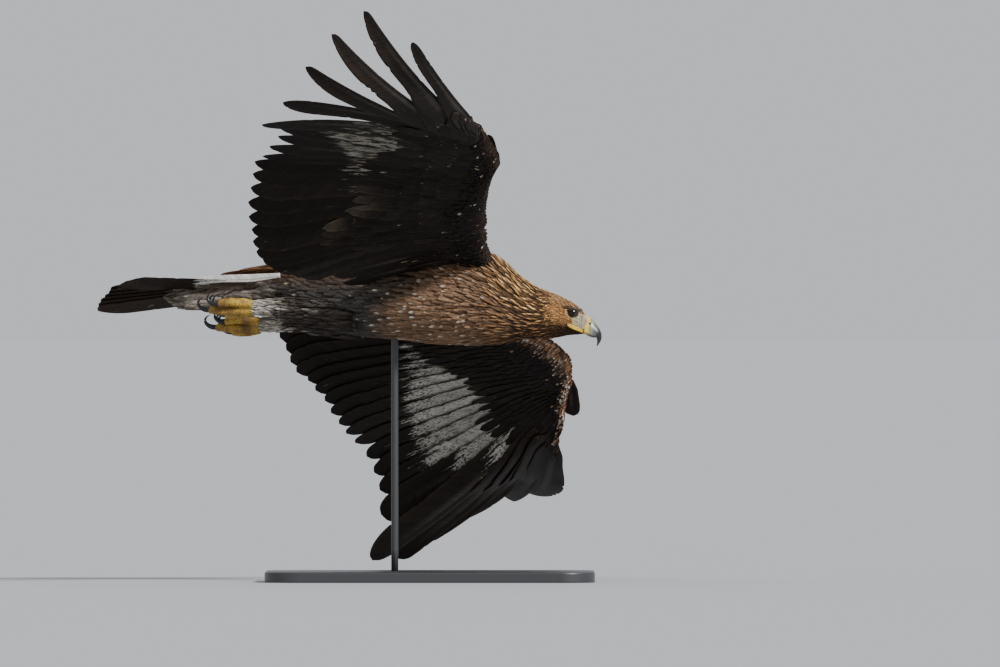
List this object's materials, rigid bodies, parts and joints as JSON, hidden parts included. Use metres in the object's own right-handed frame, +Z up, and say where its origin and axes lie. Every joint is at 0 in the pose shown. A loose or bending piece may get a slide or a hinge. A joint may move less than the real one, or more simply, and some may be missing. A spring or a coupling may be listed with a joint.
{
  "type": "golden eagle",
  "caption": "Life-size still model of a golden eagle in gliding flight, wings spread and banked, held by a rod over a flat base.",
  "frame": {"origin": "middle of the underside of the stand's base, on the floor", "axes": "+Z up, +X the way the bird flies in the side view, +Y toward its left wing"},
  "size_m": [0.8648, 1.9962, 0.9602],
  "materials": {
    "brown_feather": "matte",
    "gold_feather": "matte",
    "dark_feather": "matte",
    "pale_feather": "matte",
    "yellow_skin": "satin",
    "cere_skin": "satin",
    "horn": "satin",
    "claw": "gloss",
    "eye": "gloss",
    "stand": "satin"
  },
  "bodies": {
    "root": {"torso": "brown_feather", "neck": "gold_feather", "head": "brown_feather", "cere": "cere_skin", "beak_upper": "horn", "beak_lower": "horn", "tail": "dark_feather", "eye_right": "eye", "wing_right": "dark_feather", "leg_right": "pale_feather", "foot_right": "yellow_skin", "claw_right_1": "claw", "claw_right_2": "claw", "claw_right_3": "claw", "claw_right_4": "claw", "eye_left": "eye", "wing_left": "dark_feather", "leg_left": "pale_feather", "foot_left": "yellow_skin", "claw_left_1": "claw", "claw_left_2": "claw", "claw_left_3": "claw", "claw_left_4": "claw", "stand_rod": "stand", "stand_base": "stand"}
  },
  "joints": []
}
